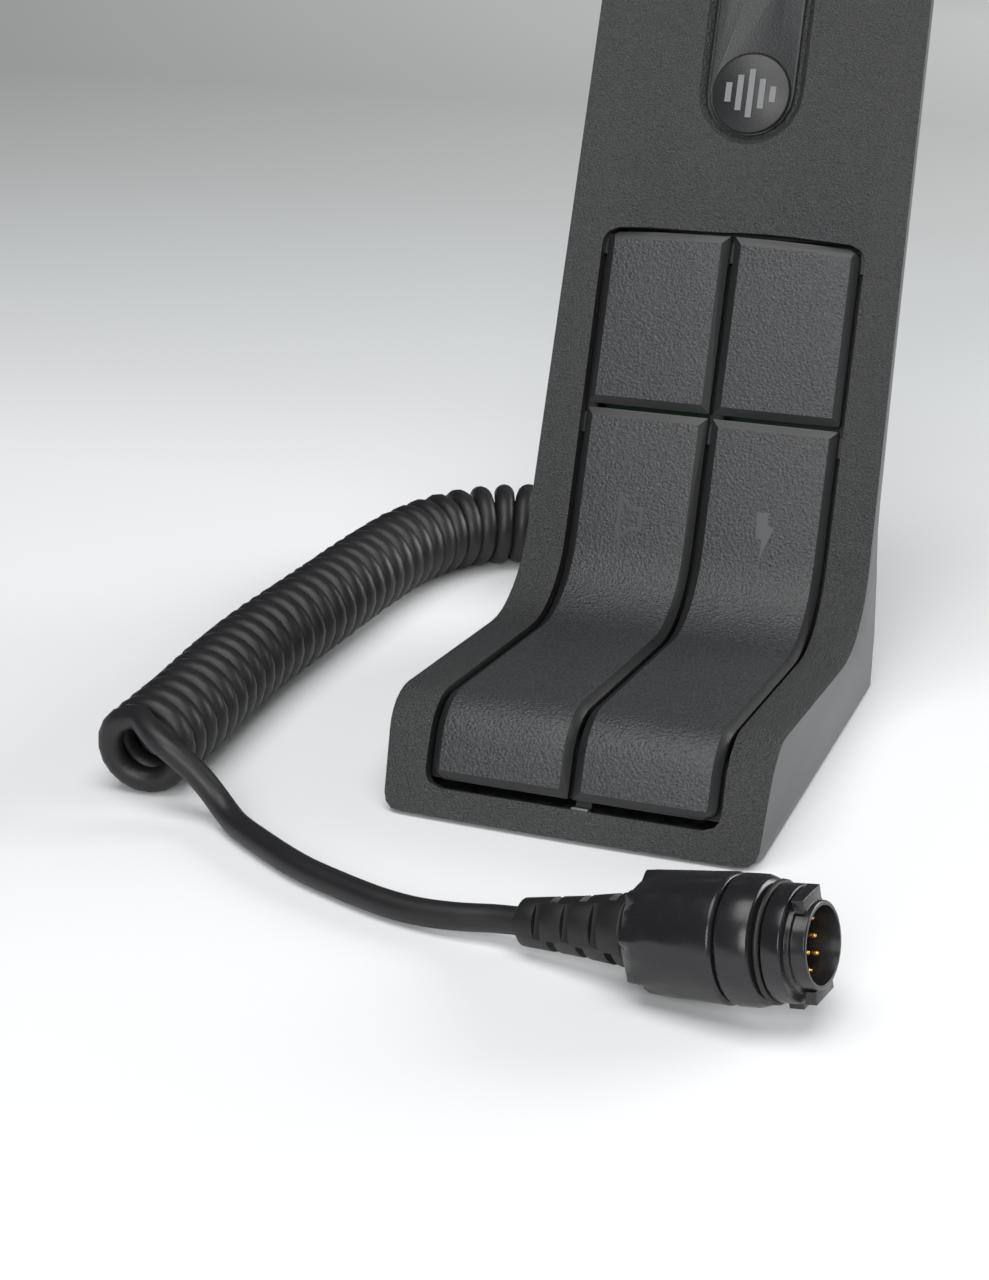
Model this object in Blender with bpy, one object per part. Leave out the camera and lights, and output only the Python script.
"""Desk-stand microphone: a leaning column on a weighted foot, four press keys, a coiled cord and a plug.

Lengths are in millimetres and angles in degrees, and at() turns a point into metres. A point is given as
x from the mirror plane, y back from the foot's front edge and z above the desk. On the curved face, a point
is (x, s, n): s runs up the face from the desk, over the toe and the ankle to the column's top, and n stands
out from the face.
"""

import math

import bmesh
import bpy
from mathutils import Matrix, Vector

MM = 0.001
FRONT_Y = -79.2

# The face, seen from the side: a steep toe, a nearly level foot and a column that leans back.
TOE_LEAN = 20.64
TOE_HEIGHT = 22.2
TOE_RADIUS = 9.9
FOOT_SLOPE = 4.77
FOOT_LENGTH = 70.5
ANKLE_RADIUS = 21.7
COLUMN_LEAN = 19.9
FACE_TOP = 278.0
TOP_CORNER = 16.0
TOP_ARCH = 2.5
BOTTOM_CORNER = 4.0
CROWN = 0.8
UNDERSIDE = 1.0
PLATE = 2.6
SIDE_WALL = 2.4
GAP = 0.3

# The opening in the face, and the keys in it.
OPENING_BOTTOM = 6.4
OPENING_SPLIT = 132.8
OPENING_TOP = 171.7
OPENING_ARCH = 1.2
OPENING_CORNER = 3.5
KEY_SIDE_GAP = 1.1
KEY_TOP_GAP = 1.0
KEY_BOTTOM_GAP = 1.9
KEY_SMALL_GAP = 0.5
KEY_TOP = 0.3
KEY_SHOULDER = -0.7
KEY_BACK = -2.3
KEY_CHAMFER = 1.7
PIVOT_DEPTH = -4.6
LOWER_PIVOT = 129.0
UPPER_PIVOT = 168.5
PIN_RADIUS = 1.0
PIN_HOLE = 1.12
PIN_REACH = 30.3
KNUCKLE_SPANS = ((4.0, 7.5), (22.0, 25.5))
POST_X = 14.8
LOWER_POST = 109.0
UPPER_POST = 153.5

# The frame that carries the keys, and the circuit board behind it.
CARRIER_HALF = 32.6
CARRIER_FRONT = -5.2
CARRIER_BACK = -6.8
BOARD_FRONT = -13.0
BOARD_BACK = -14.6
BOARD_HALF = 28.0
BOARD_SPAN = (106.0, 175.0)
SWITCH_SIZE = 6.0
SWITCH_FRONT = -9.3
PLUNGER_FRONT = -8.0

# The oval inlay near the top, its badge and the microphone behind it.
OVAL_BOTTOM = 203.1
OVAL_TOP = 249.0
OVAL_RADIUS = 11.5
OVAL_FLOOR = -1.9
INLAY_RADIUS = 9.4
SOUND_RADIUS = 7.0
SOUND_SPAN = (228.0, 249.0)
BADGE_CENTRE = 202.6
BADGE_RADIUS = 8.6
CAPSULE_CENTRE = 240.0

# The back of the housing.
BACK_WALL = 2.2
BACK_INSET = 0.8
BACK_DRAFT = 13.0
BACK_CORNER = 12.0
HOUSING_TOP_ROUND = 18.0

# Screws, feet and weights.
REAR_SCREWS = ((-24.0, 188.0), (24.0, 188.0), (-22.0, 262.0), (22.0, 262.0))
FRONT_BOSSES = ((-32.6, 17.0), (32.6, 17.0))
REAR_BOSSES = ((-30.6, 102.0), (30.6, 102.0))
FEET = ((-22.0, 15.0), (22.0, 15.0), (-21.0, 96.0), (21.0, 96.0))
PLATE_BOTTOM = 1.2
PLATE_TOP = 3.6

# The cord.
CORD = 5.1
COIL = 19.8
COIL_HEIGHT = 10.0
EXIT_X = 14.0
EXIT_Z = 14.0
RELIEF_END = 139.7

# The plug: it lies on its grip, and its axis rises a little from the boot's small end to the pins.
PLUG_START = (7.37, -42.64, 5.45)
PLUG_TURN = -9.46
PLUG_RISE = 10.87
GRIP_RADIUS = 11.2
GRIP_TAPER = 0.045
RIB_ANGLE = 17.0
SHELL_RADIUS = 7.4


def clear_scene():
    for old in list(bpy.data.objects):
        bpy.data.objects.remove(old, do_unlink=True)


def at(x, y, z):
    return Vector((x, y + FRONT_Y, z)) * MM


def blend(value, knots):
    """Straight-line interpolation in ((value, result), ...)."""
    for (low, first), (high, last) in zip(knots, knots[1:]):
        if value <= high:
            part = max(0.0, (value - low) / (high - low))
            return first + (last - first) * part
    return knots[-1][1]


def round_corner(into, radius):
    """How far a quarter-round corner falls back, this far into it from its straight side."""
    into = min(max(into, 0.0), radius)
    return radius - math.sqrt(radius * radius - into * into)


# ---------------------------------------------------------------- the face line
def face_segments():
    """Runs of the side profile: (length, start y, start z, heading, turn radius or None)."""
    rise = math.radians(90 - TOE_LEAN)
    foot = -math.radians(FOOT_SLOPE)
    column = math.radians(90 - COLUMN_LEAN)
    toe_cut = TOE_RADIUS * math.tan((rise - foot) / 2)
    ankle_cut = ANKLE_RADIUS * math.tan((column - foot) / 2)
    lengths = (
        (TOE_HEIGHT / math.cos(math.radians(TOE_LEAN)) - toe_cut, 0.0),
        (TOE_RADIUS * (rise - foot), -1 / TOE_RADIUS),
        (FOOT_LENGTH - toe_cut - ankle_cut, 0.0),
        (ANKLE_RADIUS * (column - foot), 1 / ANKLE_RADIUS),
        (400.0, 0.0),
    )
    segments = []
    y, z, heading = 0.0, 0.0, rise
    for length, bend in lengths:
        segments.append((length, y, z, heading, bend))
        y, z, heading = along(y, z, heading, bend, length)
    return segments


def along(y, z, heading, bend, length):
    if bend == 0.0:
        return y + length * math.cos(heading), z + length * math.sin(heading), heading
    end = heading + bend * length
    return (
        y + (math.sin(end) - math.sin(heading)) / bend,
        z - (math.cos(end) - math.cos(heading)) / bend,
        end,
    )


SEGMENTS = face_segments()
TOE_START = SEGMENTS[0][0]
TOE_END = TOE_START + SEGMENTS[1][0]
ANKLE_START = TOE_END + SEGMENTS[2][0]
ANKLE_END = ANKLE_START + SEGMENTS[3][0]


def face_line(s):
    """(y, z, heading) of the face line at s."""
    start = 0.0
    for length, y, z, heading, bend in SEGMENTS:
        if s <= start + length:
            return along(y, z, heading, bend, s - start)
        start += length
    raise ValueError("s is past the end of the face line")


def half_width(z):
    return blend(z, ((0, 38.0), (20, 38.9), (196, 35.2)))


def surface(x, s, n=0.0):
    """The point x across, s up the face and n out of it, with the face's slight crown."""
    y, z, heading = face_line(s)
    out = n + CROWN * (1 - (x / 38.0) ** 2)
    return (x, y - out * math.sin(heading), z + out * math.cos(heading))


def out_of_face(s):
    heading = face_line(s)[2]
    return Vector((0, -math.sin(heading), math.cos(heading)))


def stations(start, end):
    """Values of s from start to end, close together on the bends."""
    marks = {start, end}
    for low, high, count in ((TOE_START, TOE_END, 6), (ANKLE_START, ANKLE_END, 8)):
        marks.update(low + (high - low) * i / count for i in range(count + 1))
    return sorted(s for s in marks if start <= s <= end)


# ---------------------------------------------------------------- solids
def skin(loops, joined=False):
    """A closed mesh through equal loops of points. joined links the last loop to the first."""
    bm = bmesh.new()
    rows = [[bm.verts.new(at(*point)) for point in loop] for loop in loops]
    pairs = list(zip(rows, rows[1:]))
    if joined:
        pairs.append((rows[-1], rows[0]))
    for near, far in pairs:
        for i, corner in enumerate(near):
            j = (i + 1) % len(near)
            bm.faces.new((corner, near[j], far[j], far[i]))
    if not joined:
        bm.faces.new(rows[0])
        bm.faces.new(rows[-1])
    bmesh.ops.remove_doubles(bm, verts=bm.verts, dist=2e-6)
    bmesh.ops.triangulate(bm, faces=bm.faces, ngon_method="EAR_CLIP")
    bmesh.ops.recalc_face_normals(bm, faces=bm.faces)
    return bm


def solid(bm, name="cutter"):
    mesh = bpy.data.meshes.new(name)
    bm.to_mesh(mesh)
    bm.free()
    piece = bpy.data.objects.new(name, mesh)
    bpy.context.scene.collection.objects.link(piece)
    return piece


def frame_of(direction):
    """Two unit vectors across direction: the first level, the second as upright as can be."""
    direction = Vector(direction).normalized()
    level = direction.cross(Vector((0, 0, 1)))
    if level.length < 1e-6:
        level = Vector((1, 0, 0))
    level.normalize()
    return direction, level, level.cross(direction)


def turned(profile, start, direction, segments=24, joined=False, radius_at=None):
    """The (distance, radius) profile turned about the line from start. joined makes it a ring."""
    direction, level, upright = frame_of(direction)
    loops = []
    for distance, radius in profile:
        loop = []
        for i in range(segments):
            angle = 2 * math.pi * i / segments
            reach = radius_at(distance, radius, angle) if radius_at else radius
            spoke = level * math.cos(angle) * reach + upright * math.sin(angle) * reach
            loop.append(tuple(Vector(start) + direction * distance + spoke))
        loops.append(loop)
    return solid(skin(loops, joined))


def rod(start, end, radius, segments=16):
    run = Vector(end) - Vector(start)
    return turned(((0, radius), (run.length, radius)), start, run, segments)


def face_block(x0, x1, s0, s1, n0, n1):
    """A block between two values each of x, s and n, on a straight part of the face."""
    loops = []
    for s in (s0, s1):
        loops.append([surface(x, s, n) for x, n in ((x0, n0), (x1, n0), (x1, n1), (x0, n1))])
    return solid(skin(loops))


def slab(outline, low, high):
    """A level plate between two heights, with an outline of (x, y) points."""
    return solid(skin([[(x, y, z) for x, y in outline] for z in (low, high)]))


def combine(piece, other, operation, solver="EXACT"):
    """Applies one Boolean to piece and removes the other object."""
    modifier = piece.modifiers.new(operation, "BOOLEAN")
    modifier.operation = operation
    modifier.solver = solver
    modifier.object = other
    bpy.context.view_layer.update()
    graph = bpy.context.evaluated_depsgraph_get()
    mesh = bpy.data.meshes.new_from_object(piece.evaluated_get(graph))
    piece.modifiers.clear()
    piece.data = mesh
    bpy.data.objects.remove(other)
    return piece


def cut(piece, *others):
    for other in others:
        combine(piece, other, "DIFFERENCE")
    return piece


def add(piece, *others):
    for other in others:
        combine(piece, other, "UNION")
    return piece


def bevel_edges(piece, width, angle=40.0, segments=2):
    bevel = piece.modifiers.new("soft edges", "BEVEL")
    bevel.width = width * MM
    bevel.segments = segments
    bevel.limit_method = "ANGLE"
    bevel.angle_limit = math.radians(angle)
    bevel.use_clamp_overlap = True


def material(name, colour, roughness, metallic=0.0):
    found = bpy.data.materials.get(name)
    if found:
        return found
    made = bpy.data.materials.new(name)
    made.use_nodes = True
    shader = made.node_tree.nodes["Principled BSDF"]
    shader.inputs["Base Color"].default_value = (*colour, 1.0)
    shader.inputs["Roughness"].default_value = roughness
    shader.inputs["Metallic"].default_value = metallic
    return made


MATERIALS = {
    "housing": ((0.030, 0.032, 0.034), 0.55, 0.0),
    "key": ((0.032, 0.034, 0.036), 0.50, 0.0),
    "frame": ((0.30, 0.30, 0.30), 0.60, 0.0),
    "rubber": ((0.020, 0.020, 0.021), 0.75, 0.0),
    "cord": ((0.018, 0.018, 0.019), 0.45, 0.0),
    "gloss": ((0.010, 0.010, 0.011), 0.18, 0.0),
    "steel": ((0.55, 0.55, 0.56), 0.35, 1.0),
    "board": ((0.02, 0.16, 0.06), 0.45, 0.0),
    "gold": ((0.75, 0.50, 0.16), 0.25, 1.0),
    "foam": ((0.05, 0.05, 0.05), 0.95, 0.0),
}


def name_piece(piece, name, finish, pivot=None):
    """Names a piece, gives it its material and moves its origin to its joint's axis."""
    piece.name = name
    piece.data.name = name
    piece.data.materials.clear()
    piece.data.materials.append(material(finish, *MATERIALS[finish]))
    if pivot is not None:
        origin = at(*pivot)
        piece.data.transform(Matrix.Translation(-origin))
        piece.location = origin
    piece.data.shade_smooth()
    piece.data.set_sharp_from_angle(angle=math.radians(35))
    return piece


# ---------------------------------------------------------------- housing
def corner_marks(half, radius, count):
    """Values of x across a width, close together in its two rounded corners."""
    side = [half - radius + radius * math.sin(math.radians(90 * i / count)) for i in range(count + 1)]
    middle = [0.0, side[0] * 0.5]
    right = middle + side
    return sorted({-x for x in right} | set(right))


def face_end(x, half, inset):
    """The top of the face at x: a low arch with round corners."""
    fall = round_corner(abs(x) - (half - TOP_CORNER), TOP_CORNER)
    arch = TOP_ARCH * (x / half) ** 2
    return FACE_TOP - arch - fall - inset


def lip_depth(s):
    """How far the side of the face plate runs back from its front edge."""
    return blend(s, ((118, 4.0), (135, 3.2), (160, PLATE), (300, PLATE)))


def side_back(z):
    """y of the rear edge of the foot's side wall."""
    return blend(z, ((0, 96.0), (14, 94.0), (28, 92.2), (38, 91.6)))


def parting_y(z):
    """y of the line where the front and the rear housings meet."""
    if z <= 38:
        return side_back(z)
    s = ANKLE_END
    while surface(38.0, s, -lip_depth(s))[2] < z:
        s += 0.25
    return surface(38.0, s, -lip_depth(s))[1]


def housing_loop(x, half, inset, depth):
    """One slice of the front housing at x: inset is taken off its edges, depth off its face."""
    top = face_end(x, half, inset)
    bottom = round_corner(abs(x) - (half - BOTTOM_CORNER), BOTTOM_CORNER)
    marks = [bottom, *(s for s in stations(5.0, 240.0)), top]
    if inset:
        marks[0] = 0.0
    loop = [surface(x, s, -depth) for s in marks]
    if inset:
        x0, y0, z0 = loop[0]
        loop[0] = (x0, y0 - 2.0, z0 - 6.0)
        loop.append(surface(x, top, -14.0))
        loop.append(surface(x, 118.0, -14.0))
        loop.append((x, 110.0, 30.0))
        loop.append((x, 110.0, -6.0))
    else:
        loop.append(surface(x, top, -PLATE))
        for s in (160.0, 135.0, 118.0):
            loop.append(surface(x, s, -lip_depth(s)))
        for z in (38.0, 28.0, 14.0, UNDERSIDE):
            loop.append((x, side_back(z), z))
        loop.append((x, loop[0][1] + bottom, UNDERSIDE))
        loop[0] = (x, loop[0][1], max(loop[0][2], UNDERSIDE))
    return [(px * half_width(max(z, 0.0)) / half if not inset else px, y, z) for px, y, z in loop]


def front_boss_cutters(extra=0.0):
    bosses = []
    for x, y in FRONT_BOSSES:
        bosses.append(rod((x, y, PLATE_TOP + GAP), (x, y, 40.0), 2.8 + extra, 14))
    return bosses


def opening_half(s):
    edge = min(s - OPENING_BOTTOM, OPENING_TOP - s)
    return blend(s, ((6, 30.1), (133, 29.4), (172, 29.3))) - round_corner(
        OPENING_CORNER - edge, OPENING_CORNER
    )


def arched(x, s):
    """s of a point of the opening, whose top edge is a low arch."""
    rise = blend(s, ((150, 0.0), (OPENING_TOP, 1.0), (300, 1.0)))
    return s + OPENING_ARCH * (1 - (x / 30.0) ** 2) * rise


def opening_cutter():
    corner = [OPENING_CORNER * i / 4 for i in range(4)]
    marks = sorted(
        {OPENING_BOTTOM + c for c in corner}
        | {OPENING_TOP - c for c in corner}
        | set(stations(OPENING_BOTTOM + OPENING_CORNER, OPENING_TOP - OPENING_CORNER))
        | {150.0}
    )
    loops = []
    for s in marks:
        half = opening_half(s)
        xs = [half * f for f in (-1, -0.5, 0, 0.5, 1)]
        front = [surface(x, arched(x, s), 3.0) for x in xs]
        back = [surface(x, arched(x, s), -PLATE - 1.2) for x in reversed(xs)]
        loops.append(front + back)
    return solid(skin(loops))


def oval_outline(radius, low, high, count=10):
    """(x, s) points round an upright oval with its end centres at low and high."""
    points = []
    for centre, start in ((high, 0.0), (low, 180.0)):
        for i in range(count + 1):
            angle = math.radians(start + 180 * i / count)
            points.append((radius * math.cos(angle), centre + radius * math.sin(angle)))
    return points


def oval(levels, low, high):
    """A solid standing on the column's face: levels is ((n, radius), ...)."""
    loops = []
    for n, radius in levels:
        loops.append([surface(x, s, n) for x, s in oval_outline(radius, low, high)])
    return solid(skin(loops))


def make_front_housing():
    half = half_width(196)
    shell = solid(skin([housing_loop(x, half, 0.0, 0.0) for x in corner_marks(half, TOP_CORNER, 7)]))
    inner_half = half - SIDE_WALL
    cavity = solid(
        skin([housing_loop(x, inner_half, SIDE_WALL, PLATE) for x in corner_marks(inner_half, 10.0, 4)])
    )
    stretch_to_walls(cavity, inner_half)
    cut(cavity, *front_boss_cutters())
    for x, s in REAR_SCREWS:
        cut(cavity, rod(surface(x, s, -PLATE + 1.0), surface(x, s, -14.4), 2.8, 14))
    mouth = surface(0, CAPSULE_CENTRE, -PLATE + 1.0)
    ring = turned(((0, 9.2), (6.6, 9.2)), mouth, -out_of_face(CAPSULE_CENTRE), 24)
    cut(ring, turned(((-2, 7.6), (9, 7.6)), mouth, -out_of_face(CAPSULE_CENTRE), 24))
    cut(cavity, ring)
    cut(shell, cavity, opening_cutter())
    recess = ((1.2, OVAL_RADIUS + 0.9), (-0.1, OVAL_RADIUS), (-1.1, 10.4), (OVAL_FLOOR, 10.2))
    cut(shell, oval(recess, OVAL_BOTTOM, OVAL_TOP))
    cut(shell, oval(((0, SOUND_RADIUS), (-PLATE - 1.0, SOUND_RADIUS)), SOUND_SPAN[0] + 7, SOUND_SPAN[1] - 3))
    for x, y in FRONT_BOSSES:
        cut(shell, rod((x, y, -1.0), (x, y, 13.0), 1.35, 12))
    for x, s in REAR_SCREWS:
        cut(shell, rod(surface(x, s, -5.0), surface(x, s, -16.0), 1.35, 12))
    return name_piece(shell, "front_housing", "housing")


def stretch_to_walls(cavity, inner_half):
    """Widens the cavity with the height, so that the side walls keep their thickness."""
    for vertex in cavity.data.vertices:
        z = max(vertex.co.z / MM, 0.0)
        vertex.co.x *= (half_width(z) - SIDE_WALL) / inner_half


def back_y(z):
    """y of the rear wall's outer face."""
    return blend(z, ((1, 113.0), (12, 114.0), (38, 115.6), (186, 161.0), (200, 165.2)))


def rear_loop(z, inset):
    """One level slice of the rear housing, or of its hollow when inset is the wall's thickness."""
    top = surface(0, FACE_TOP, -PLATE)[2] - 1.0
    half = half_width(196)
    corner_start = top - TOP_CORNER * 0.94
    past = z + inset - corner_start
    fall = round_corner(past, TOP_CORNER * 0.94) / 0.94 if past > 0.0 else 0.0
    wide = half_width(z) - BACK_INSET - inset - fall
    front = parting_y(z) + GAP
    round_start = top - HOUSING_TOP_ROUND
    into = min(max(z + inset - round_start, 0.0), HOUSING_TOP_ROUND - 0.05)
    depth = (back_y(z) - inset - front) * math.sqrt(1 - (into / HOUSING_TOP_ROUND) ** 2)
    depth = max(depth, 0.8)
    back = front + depth
    corner = min(BACK_CORNER, depth * 0.7)
    if inset:
        corner = max(corner - inset, corner * 0.5)
        front -= 6.0
    shoulder = wide - (back - corner - front) * math.tan(math.radians(BACK_DRAFT))
    if inset:
        shoulder = wide - (back - corner - front - 6.0) * math.tan(math.radians(BACK_DRAFT))
    side = [(wide, front), (shoulder, back - corner)]
    for i in range(1, 5):
        angle = math.radians(90 * i / 4)
        side.append((shoulder - corner + corner * math.cos(angle), back - corner + corner * math.sin(angle)))
    loop = [(x, y, z) for x, y in side]
    loop.append((0.0, back + 0.4, z))
    loop += [(-x, y, z) for x, y in reversed(side)]
    return loop


def rear_levels(low, high):
    marks = [low, 14.0, 38.0, 60.0, 120.0]
    steps = 7
    start = high - HOUSING_TOP_ROUND
    marks += [start + HOUSING_TOP_ROUND * math.sin(math.radians(90 * i / steps)) for i in range(steps + 1)]
    return marks


def make_rear_housing():
    top = surface(0, FACE_TOP, -PLATE)[2] - 1.0
    shell = solid(skin([rear_loop(z, 0.0) for z in rear_levels(UNDERSIDE, top)]))
    hollow_top = top - BACK_WALL
    hollow = solid(skin([rear_loop(z, BACK_WALL) for z in rear_levels(-4.0, hollow_top - 0.1)]))
    for x, y in REAR_BOSSES:
        cut(hollow, rod((x, y, PLATE_TOP + GAP), (x, y, 16.0), 3.8, 14))
    for x, s in REAR_SCREWS:
        cut(hollow, rod(surface(x, s, -14.4 - GAP), surface(x, s, -40.0), 4.4, 16))
    for x, s in ((-24.0, 112.0), (24.0, 112.0), (-24.0, 169.0), (24.0, 169.0)):
        cut(hollow, rod(surface(x, s, BOARD_BACK - 0.5), surface(x, s, -40.0), 2.2, 12))
    cut(shell, hollow)
    for x, y in REAR_BOSSES:
        cut(shell, rod((x, y, -1.0), (x, y, 13.0), 1.35, 12))
    for x, s in REAR_SCREWS:
        cut(shell, rod(surface(x, s, -10.0), surface(x, s, -40.0), 1.55, 12))
        cut(shell, rod(surface(x, s, -16.2), surface(x, s, -40.0), 3.0, 16))
    cut(shell, rod((EXIT_X, 104.0, EXIT_Z), (EXIT_X, 122.0, EXIT_Z), 4.6, 20))
    return name_piece(shell, "rear_housing", "housing")


# ---------------------------------------------------------------- keys and their frame
def key_loop(left, right, s, top):
    """One cross-section of a key: chamfered left and right, top is the height of its face."""
    chamfer = min(KEY_CHAMFER, (right - left) / 3)
    slope = chamfer * (top - KEY_SHOULDER) / (KEY_TOP - KEY_SHOULDER)
    inner_left, inner_right = left + slope, right - slope
    xs = [inner_left + (inner_right - inner_left) * i / 3 for i in range(4)]
    back = [left + (right - left) * i / 3 for i in range(4)]
    points = [(x, KEY_BACK) for x in back] + [(right, KEY_SHOULDER)]
    points += [(x, top) for x in reversed(xs)] + [(left, KEY_SHOULDER)]
    return [surface(x, arched(x, s), n) for x, n in points]


def key_body(side, low, high, bottom_corner):
    """A key left (-1) or right (+1) of the middle, between two values of s."""
    corner = [bottom_corner * i / 3 for i in range(4)]
    marks = {low + c for c in corner} | {low + 0.02, low + KEY_CHAMFER, high - KEY_CHAMFER, high - 0.02, high}
    marks |= set(stations(low + bottom_corner, high - 0.6)) | {s for s in (150.0,) if low < s < high}
    loops = []
    for s in sorted(marks):
        outer = blend(s, ((6, 30.1), (133, 29.4), (172, 29.3))) - KEY_SIDE_GAP
        outer -= round_corner(bottom_corner - (s - low), bottom_corner)
        top_corner = 2.5 if high > OPENING_SPLIT + 5 else 0.4
        outer -= round_corner(top_corner - (high - s), top_corner)
        near, far = KEY_SMALL_GAP, outer
        if side < 0:
            near, far = -outer, -KEY_SMALL_GAP
        rise = min(1.0, (s - low) / KEY_CHAMFER, (high - s) / KEY_CHAMFER)
        loops.append(key_loop(near, far, s, KEY_SHOULDER + (KEY_TOP - KEY_SHOULDER) * max(rise, 0.02)))
    return solid(skin(loops))


def make_key(name, side, low, high, pivot, post, bottom_corner):
    key = key_body(side, low, high, bottom_corner)
    for x0, x1 in KNUCKLE_SPANS:
        ends = sorted((side * x0, side * x1))
        add(key, face_block(*ends, pivot - 2.4, pivot + 2.4, PIVOT_DEPTH - 1.8, KEY_BACK + 0.6))
    centre = side * POST_X
    add(key, face_block(centre - 2, centre + 2, post - 2, post + 2, PLUNGER_FRONT + GAP, KEY_BACK + 0.6))
    axis = surface(38.0, pivot, PIVOT_DEPTH)
    cut(key, rod((-34.0, *axis[1:]), (34.0, *axis[1:]), PIN_HOLE))
    return name_piece(key, name, "key", (0.0, *axis[1:]))


def make_keys():
    low, split, high = OPENING_BOTTOM + KEY_BOTTOM_GAP, OPENING_SPLIT, OPENING_TOP - KEY_TOP_GAP
    for word, side in (("left", -1), ("right", 1)):
        make_key(f"lower_key_{word}", side, low, split - KEY_SMALL_GAP, LOWER_PIVOT, LOWER_POST, 2.8)
        make_key(f"upper_key_{word}", side, split + KEY_SMALL_GAP, high, UPPER_PIVOT, UPPER_POST, 0.6)


def make_carrier():
    half, rail = CARRIER_HALF, CARRIER_HALF - 2.0
    front = -PLATE - GAP
    section = (
        (-half, CARRIER_BACK),
        (half, CARRIER_BACK),
        (half, front),
        (rail, front),
        (rail, CARRIER_FRONT),
        (-rail, CARRIER_FRONT),
        (-rail, front),
        (-half, front),
    )
    loops = [[surface(x, s, n) for x, n in section] for s in stations(8.0, 176.5)]
    carrier = solid(skin(loops))
    for side in (-1, 1):
        for low, high in ((32.0, 116.0), (124.0, 172.5)):
            ends = sorted((side * 1.5, side * 27.5))
            loops = []
            for s in stations(low, high):
                corners = ((ends[0], -8.0), (ends[1], -8.0), (ends[1], -4.0), (ends[0], -4.0))
                loops.append([surface(x, s, n) for x, n in corners])
            combine(carrier, solid(skin(loops)), "DIFFERENCE", "MANIFOLD")
    for pivot in (LOWER_PIVOT, UPPER_PIVOT):
        for x0, x1 in ((-rail - 0.5, -27.9), (-1.2, 1.2), (27.9, rail + 0.5)):
            add(carrier, face_block(x0, x1, pivot - 2.2, pivot + 2.2, CARRIER_BACK + 0.4, PIVOT_DEPTH + 1.9))
        axis = surface(38.0, pivot, PIVOT_DEPTH)
        cut(carrier, rod((-36.0, *axis[1:]), (36.0, *axis[1:]), PIN_HOLE))
    add(carrier, face_block(0.4, 3.6, OPENING_BOTTOM + 0.4, 9.5, CARRIER_BACK + 0.2, -3.9))
    cut(carrier, *front_boss_cutters(0.4))
    return name_piece(carrier, "key_carrier", "frame")


def make_hinge_pins():
    for word, pivot in (("lower", LOWER_PIVOT), ("upper", UPPER_PIVOT)):
        axis = surface(38.0, pivot, PIVOT_DEPTH)
        pin = rod((-PIN_REACH, *axis[1:]), (PIN_REACH, *axis[1:]), PIN_RADIUS)
        name_piece(pin, f"{word}_hinge_pin", "steel")


# ---------------------------------------------------------------- electronics
def make_board():
    board = face_block(-BOARD_HALF, BOARD_HALF, *BOARD_SPAN, BOARD_BACK, BOARD_FRONT)
    return name_piece(board, "circuit_board", "board")


def make_switches():
    half = SWITCH_SIZE / 2
    out = out_of_face(200.0)
    for row, s in (("lower", LOWER_POST), ("upper", UPPER_POST)):
        for word, side in (("left", -1), ("right", 1)):
            x = side * POST_X
            body = face_block(x - half, x + half, s - half, s + half, BOARD_FRONT + GAP, SWITCH_FRONT)
            well = surface(x, s, SWITCH_FRONT - 1.6)
            cut(body, turned(((0, 2.0), (3, 2.0)), well, out, 16))
            bevel_edges(body, 0.25, segments=1)
            name_piece(body, f"{row}_switch_{word}", "gloss")
            foot = surface(x, s, SWITCH_FRONT - 1.0)
            plunger = turned(((0, 1.7), (PLUNGER_FRONT - SWITCH_FRONT + 1.0, 1.7)), foot, out, 16)
            bevel_edges(plunger, 0.2, segments=1)
            name_piece(plunger, f"{row}_plunger_{word}", "rubber", foot)


def make_inlay_and_badge():
    levels = ((OVAL_FLOOR + GAP, INLAY_RADIUS), (-0.8, INLAY_RADIUS), (-0.6, INLAY_RADIUS - 0.2))
    inlay = oval(levels, OVAL_BOTTOM, OVAL_TOP)
    out = out_of_face(BADGE_CENTRE)
    seat = surface(0, BADGE_CENTRE, -1.1)
    cut(inlay, turned(((0, BADGE_RADIUS + 0.3), (3, BADGE_RADIUS + 0.3)), seat, out, 32))
    for i in range(5):
        s = 229.5 + 5.0 * i
        slot = face_block(-5.0, 5.0, s, s + 2.0, -3.0, 1.0)
        cut(inlay, slot)
    name_piece(inlay, "inlay", "gloss")
    profile = ((0.3, BADGE_RADIUS), (0.9, BADGE_RADIUS), (1.1, BADGE_RADIUS - 0.3))
    badge = turned(profile, seat, out, 32)
    name_piece(badge, "badge", "gloss")


def make_microphone():
    out = out_of_face(CAPSULE_CENTRE)
    foam_low, foam_high = SOUND_SPAN[0] + 7, SOUND_SPAN[1] - 3
    foam = oval(((-PLATE + 0.1, SOUND_RADIUS - 0.5), (OVAL_FLOOR, SOUND_RADIUS - 0.5)), foam_low, foam_high)
    name_piece(foam, "mic_foam", "foam")
    mouth = surface(0, CAPSULE_CENTRE, -PLATE - 0.4)
    ring = ((0, 5.15), (0, 7.2), (8.0, 7.2), (8.0, 1.4), (6.2, 1.4), (6.2, 5.15))
    boot = turned(ring, mouth, -out, 24, joined=True)
    name_piece(boot, "mic_boot", "rubber")
    face = surface(0, CAPSULE_CENTRE, -PLATE - 1.2)
    capsule = turned(((0, 4.4), (0.3, 4.85), (4.7, 4.85), (5.0, 4.6)), face, -out, 24)
    name_piece(capsule, "mic_capsule", "steel")


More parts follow.
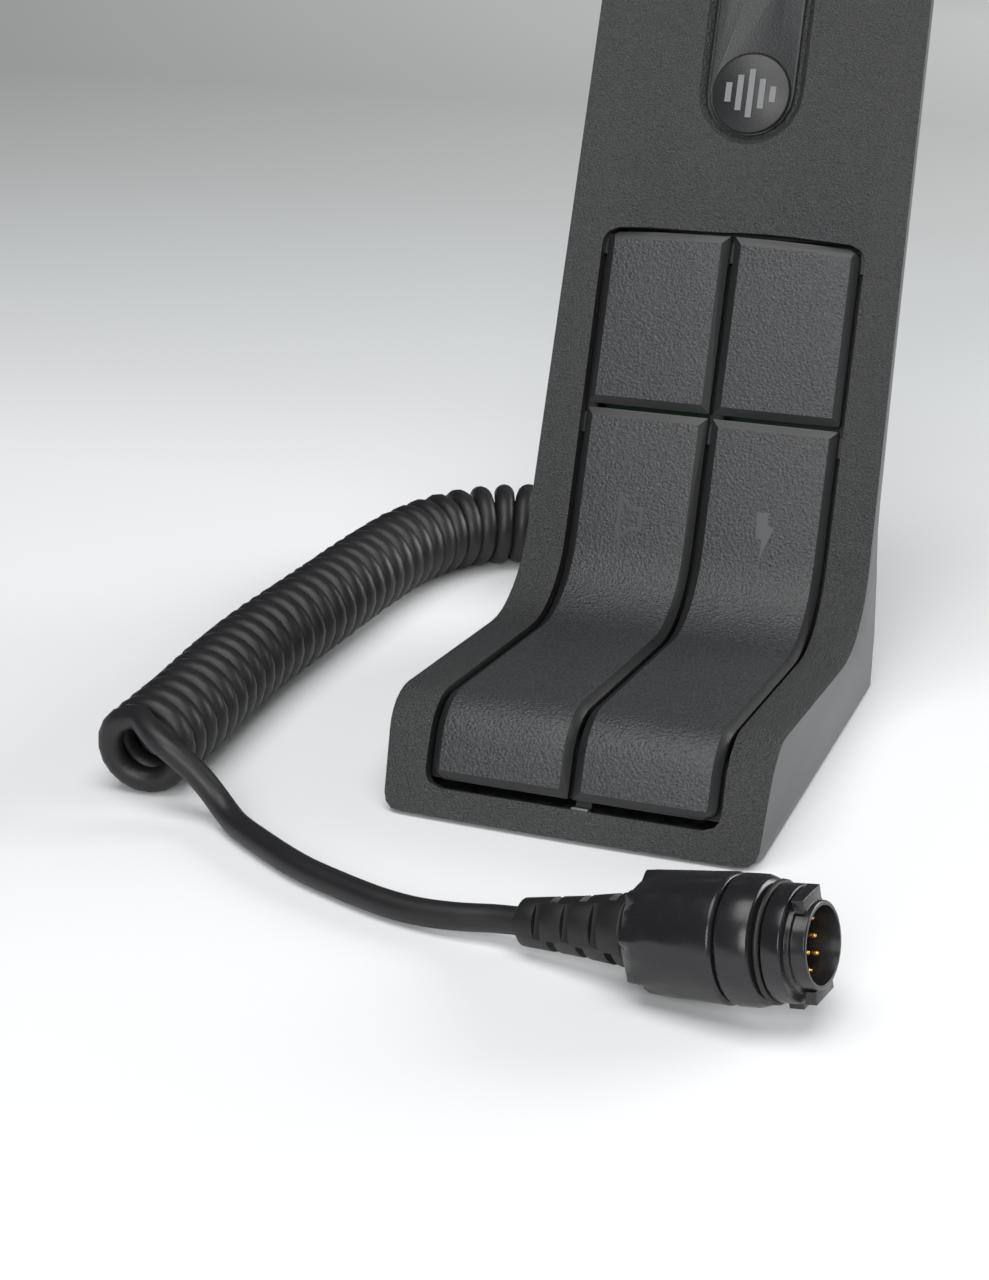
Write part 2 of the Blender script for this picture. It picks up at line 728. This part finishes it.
def tube(name, route, diameter, finish, spacing, resolution=3):
    """A round tube on a smooth curve through the route's points."""
    points = smooth_run([Vector(point) for point in route], spacing)
    curve = bpy.data.curves.new(name, "CURVE")
    curve.dimensions = "3D"
    curve.bevel_depth = diameter / 2 * MM
    curve.bevel_resolution = resolution
    curve.use_fill_caps = True
    spline = curve.splines.new("POLY")
    spline.points.add(len(points) - 1)
    for item, point in zip(spline.points, points):
        item.co = (*at(*point), 1.0)
    piece = bpy.data.objects.new(name, curve)
    bpy.context.scene.collection.objects.link(piece)
    curve.materials.append(material(finish, *MATERIALS[finish]))
    return piece


def smooth_run(route, spacing):
    """Points about spacing apart on the Catmull-Rom curve through the route."""
    padded = [2 * route[0] - route[1], *route, 2 * route[-1] - route[-2]]
    run = []
    for a, b, c, d in zip(padded, padded[1:], padded[2:], padded[3:]):
        steps = max(1, round((c - b).length / spacing))
        for i in range(steps):
            t = i / steps
            square = (2 * a - 5 * b + 4 * c - d) * t**2
            cube = (3 * b - a - 3 * c + d) * t**3
            run.append(0.5 * (2 * b + (c - a) * t + square + cube))
    run.append(route[-1])
    return run


def make_leads():
    header = face_block(6.0, 20.0, 110.0, 118.0, BOARD_BACK - 5.8, BOARD_BACK - 0.8)
    bevel_edges(header, 0.4, segments=1)
    name_piece(header, "cord_header", "frame")
    end = surface(13.0, 109.0, BOARD_BACK - 3.3)
    inner = [
        (EXIT_X, 108.3, EXIT_Z),
        (EXIT_X, 105.4, 14.9),
        (13.6, 103.4, 17.8),
        (13.2, 102.6, 22.0),
        (13.0, 102.5, 26.5),
        end,
    ]
    tube("inner_lead", inner, 3.4, "cord", 4.0)
    start = surface(2.0, CAPSULE_CENTRE, -PLATE - 8.9)
    capsule_lead = [
        start,
        surface(2.0, CAPSULE_CENTRE - 1.5, -15.0),
        surface(1.0, 228.0, -16.2),
        surface(0.0, 210.0, -15.4),
        surface(0.0, 192.0, -14.4),
        surface(0.0, BOARD_SPAN[1] + 0.5, -13.8),
    ]
    tube("capsule_lead", capsule_lead, 1.2, "cord", 5.0, 2)


# ---------------------------------------------------------------- weights, feet and screws
def base_outline():
    right = (
        (28.0, 5.4),
        (33.5, 8.0),
        (35.2, 14.0),
        (35.2, 90.0),
        (34.0, 96.0),
        (32.6, 101.0),
        (28.5, 107.0),
        (21.0, 110.2),
    )
    return [*right, *((-x, y) for x, y in reversed(right))]


def make_base():
    plate = slab(base_outline(), PLATE_BOTTOM, PLATE_TOP)
    for x, y in FRONT_BOSSES + REAR_BOSSES:
        cut(plate, rod((x, y, -1.0), (x, y, 6.0), 1.6, 12))
        cut(plate, rod((x, y, -1.0), (x, y, 2.6), 2.4, 16))
    for x, y in FEET:
        cut(plate, rod((x, y, -1.0), (x, y, 2.0), 5.4, 18))
    name_piece(plate, "base_plate", "steel")
    ballast = slab(((-27, 26), (27, 26), (27, 80), (-27, 80)), PLATE_TOP + GAP, 9.3)
    bevel_edges(ballast, 0.8, segments=1)
    name_piece(ballast, "ballast_weight", "steel")


def make_feet():
    for i, (x, y) in enumerate(FEET, 1):
        foot = turned(((0, 4.4), (0.5, 5.0), (1.7, 5.0)), (x, y, 0.0), (0, 0, 1), 20)
        name_piece(foot, f"foot_pad_{i}", "rubber")


def screw(head_radius, head_height, shank_radius, length, place, direction):
    profile = (
        (0, head_radius - 0.3),
        (0.3, head_radius),
        (head_height, head_radius),
        (head_height, shank_radius),
        (length, shank_radius * 0.8),
    )
    piece = turned(profile, place, direction, 10)
    across = frame_of(direction)[1:]
    for first, second in (across, across[::-1]):
        corners = []
        for u, v in ((-1.3, -0.25), (1.3, -0.25), (1.3, 0.25), (-1.3, 0.25)):
            corners.append(first * u + second * v)
        loops = []
        for depth in (-1.0, 0.8):
            centre = Vector(place) + Vector(direction).normalized() * depth
            loops.append([tuple(centre + corner) for corner in corners])
        cut(piece, solid(skin(loops)))
    return piece


def make_screws():
    for i, (x, y) in enumerate(FRONT_BOSSES + REAR_BOSSES, 1):
        name_piece(screw(2.1, 1.0, 1.2, 9.5, (x, y, 1.3), (0, 0, 1)), f"base_screw_{i}", "steel")
    for i, (x, s) in enumerate(REAR_SCREWS, 1):
        place = surface(x, s, -16.2 - 1.7 + 0.3)
        name_piece(screw(2.6, 1.3, 1.2, 10.0, place, out_of_face(s)), f"rear_screw_{i}", "steel")


# ---------------------------------------------------------------- cord and plug
COIL_ROUTE = (
    (-85.5, -12.0, COIL_HEIGHT),
    (-86.2, 10.0, COIL_HEIGHT),
    (-87.6, 30.0, COIL_HEIGHT),
    (-88.0, 45.0, COIL_HEIGHT),
    (-87.5, 60.0, COIL_HEIGHT),
    (-86.7, 75.0, COIL_HEIGHT),
    (-86.0, 92.0, COIL_HEIGHT),
    (-85.0, 108.0, COIL_HEIGHT),
    (-83.4, 121.0, COIL_HEIGHT),
    (-80.0, 132.0, COIL_HEIGHT),
    (-74.0, 141.0, COIL_HEIGHT),
    (-65.0, 147.2, COIL_HEIGHT),
    (-54.5, 150.2, COIL_HEIGHT),
    (-43.5, 151.0, COIL_HEIGHT),
    (-33.0, 151.0, COIL_HEIGHT),
)
FRONT_TAIL = (
    (-84.2, -15.2, 16.7),
    (-80.6, -15.6, 16.1),
    (-76.9, -16.0, 14.6),
    (-74.0, -16.0, 12.6),
    (-71.2, -15.9, 10.4),
    (-68.5, -16.0, 7.9),
    (-65.6, -16.7, 5.2),
    (-62.5, -18.4, 3.3),
    (-59.1, -21.0, 2.7),
    (-52.6, -25.4, 2.7),
    (-43.5, -31.0, 2.7),
    (-35.8, -34.7, 2.7),
    (-23.8, -39.1, 2.75),
    (-16.7, -40.9, 2.85),
    (-11.3, -41.7, 3.15),
    (-4.9, -42.1, 3.8),
    (1.5, -42.0, 4.6),
    (6.98, -42.58, 5.37),
)
REAR_TAIL = (
    (EXIT_X, RELIEF_END + GAP, EXIT_Z),
    (EXIT_X, 146.0, 13.3),
    (12.3, 152.4, 11.7),
    (8.0, 157.6, 9.5),
    (1.5, 160.4, 7.3),
    (-6.0, 160.0, 5.3),
    (-14.0, 157.3, 3.8),
    (-22.0, 153.9, 2.9),
    (-28.0, 151.8, 2.7),
    (-32.6, 151.1, 2.7),
)


def make_cord():
    tube("cord_coil", COIL_ROUTE, COIL, "cord", 12.0, 3)
    tube("cord_tail_front", FRONT_TAIL, CORD, "cord", 5.0)
    tube("cord_tail_rear", REAR_TAIL, CORD, "cord", 5.0)


def make_strain_relief():
    profile = [(0, 6.4), (2.2, 6.4), (2.2, 4.2), (6.2, 4.2), (6.2, 6.0), (8.4, 6.0), (9.0, 5.4)]
    count = 4
    start, end = 11.0, RELIEF_END - 109.0
    pitch = (end - start) / count
    for i in range(count):
        outer = 5.2 - 1.7 * i / count
        foot = start + pitch * i
        profile += [(foot, outer), (foot + pitch * 0.55, outer - 0.15)]
        profile += [(foot + pitch * 0.6, outer - 0.9), (foot + pitch * 0.95, outer - 0.95)]
    profile.append((end, 3.3))
    relief = turned(profile, (EXIT_X, 109.0, EXIT_Z), (0, 1, 0), 14)
    name_piece(relief, "strain_relief", "rubber")


def plug_axis():
    turn, rise = math.radians(PLUG_TURN), math.radians(PLUG_RISE)
    return Vector((math.cos(turn) * math.cos(rise), math.sin(turn) * math.cos(rise), math.sin(rise)))


def plug_turned(profile, segments=32, joined=False, radius_at=None):
    return turned(profile, PLUG_START, plug_axis(), segments, joined, radius_at)


def plug_block(a0, a1, across, low, high, spin):
    """A block on the plug, a0 to a1 along its axis, low to high from it, across wide, turned by spin."""
    direction, level, upright = frame_of(plug_axis())
    angle = math.radians(spin)
    outward = level * math.sin(angle) + upright * math.cos(angle)
    sideways = level * math.cos(angle) - upright * math.sin(angle)
    loops = []
    for a in (a0, a1):
        loop = []
        for u, v in ((-across / 2, low), (across / 2, low), (across / 2, high), (-across / 2, high)):
            loop.append(tuple(Vector(PLUG_START) + direction * a + sideways * u + outward * v))
        loops.append(loop)
    return solid(skin(loops))


def grip_radius(distance, radius, angle):
    """Eight ribs that stand at the grip's rear shoulder and fade out forwards."""
    if radius < 8.0:
        return radius
    fade = blend(distance, ((24.0, 1.0), (28.0, 1.0), (37.0, 0.0), (60.0, 0.0)))
    rib = max(0.0, math.cos(8 * (angle - math.radians(RIB_ANGLE)))) ** 2
    crest = GRIP_RADIUS - GRIP_TAPER * (42.0 - distance) + 0.3
    return radius + rib * fade * max(0.0, crest - radius)


def make_plug():
    boot = plug_turned(((0, 3.6), (0.6, 4.3), (12, 5.3), (22.2, 6.6), (22.6, 6.3)), 24)
    for i, a in enumerate((5.0, 11.0, 17.0)):
        deep = 3.4 + 0.55 * i
        for shift, spins in ((0.0, (60, 240)), (2.6, (150, 330))):
            for spin in spins:
                cut(boot, plug_block(a + shift - 0.8, a + shift + 0.8, 30.0, deep, 12.0, spin))
    name_piece(boot, "plug_boot", "rubber")
    shoulder = (
        (22.9, 6.9),
        (23.4, 7.9),
        (24.6, 9.0),
        (26.5, 9.9),
        (29.0, 10.4),
        (33.0, GRIP_RADIUS - GRIP_TAPER * 9.0),
        (37.0, GRIP_RADIUS - GRIP_TAPER * 5.0),
        (41.4, GRIP_RADIUS),
        (42.0, GRIP_RADIUS - 0.5),
    )
    name_piece(plug_turned(shoulder, 48, radius_at=grip_radius), "plug_grip", "gloss")
    body_profile = (
        (42.3, 10.6),
        (43.0, 11.1),
        (46.6, 11.1),
        (48.2, 10.6),
        (48.8, 9.7),
        (48.8, 8.9),
        (50.5, 8.9),
        (50.5, 9.9),
        (53.6, 9.9),
        (53.8, 9.7),
        (53.8, 8.2),
        (54.7, 8.2),
        (54.7, SHELL_RADIUS),
        (57.0, SHELL_RADIUS),
        (57.2, SHELL_RADIUS - 0.25),
        (57.2, 6.6),
        (50.0, 6.5),
    )
    body = plug_turned(body_profile, 30)
    for spin in (0, 180):
        add(body, plug_block(54.2, 56.3, 7.0, 6.9, 9.3, spin))
    add(body, plug_block(50.7, 53.4, 5.0, 8.0, 10.8, 180))
    name_piece(body, "plug_body", "gloss")
    ring = ((49.2, 9.2), (49.2, 10.1), (49.7, 10.5), (50.2, 10.1), (50.2, 9.2))
    seal = plug_turned(ring, 26, True)
    name_piece(seal, "plug_seal", "rubber")
    insert = plug_turned(((50.3, 6.1), (51.2, 6.1)), 24)
    holes = []
    number = 0
    direction, level, upright = frame_of(plug_axis())
    for column, count in ((-1, 3), (0, 4), (1, 3)):
        for row in range(count):
            number += 1
            spot = level * 3.4 * column + upright * 3.2 * (row - (count - 1) / 2)
            start = Vector(PLUG_START) + spot + direction * 50.6
            holes.append(rod(start, start + direction * 3.0, 0.65, 8))
            pin = turned(((0.25, 0.5), (3.5, 0.5), (3.9, 0.25)), start, direction, 8)
            name_piece(pin, f"contact_pin_{number:02d}", "gold")
    cut(insert, *holes)
    name_piece(insert, "pin_insert", "gloss")


def main():
    clear_scene()
    make_front_housing()
    make_rear_housing()
    make_keys()
    make_carrier()
    make_hinge_pins()
    make_board()
    make_switches()
    make_inlay_and_badge()
    make_microphone()
    make_leads()
    make_base()
    make_feet()
    make_screws()
    make_strain_relief()
    make_cord()
    make_plug()


main()
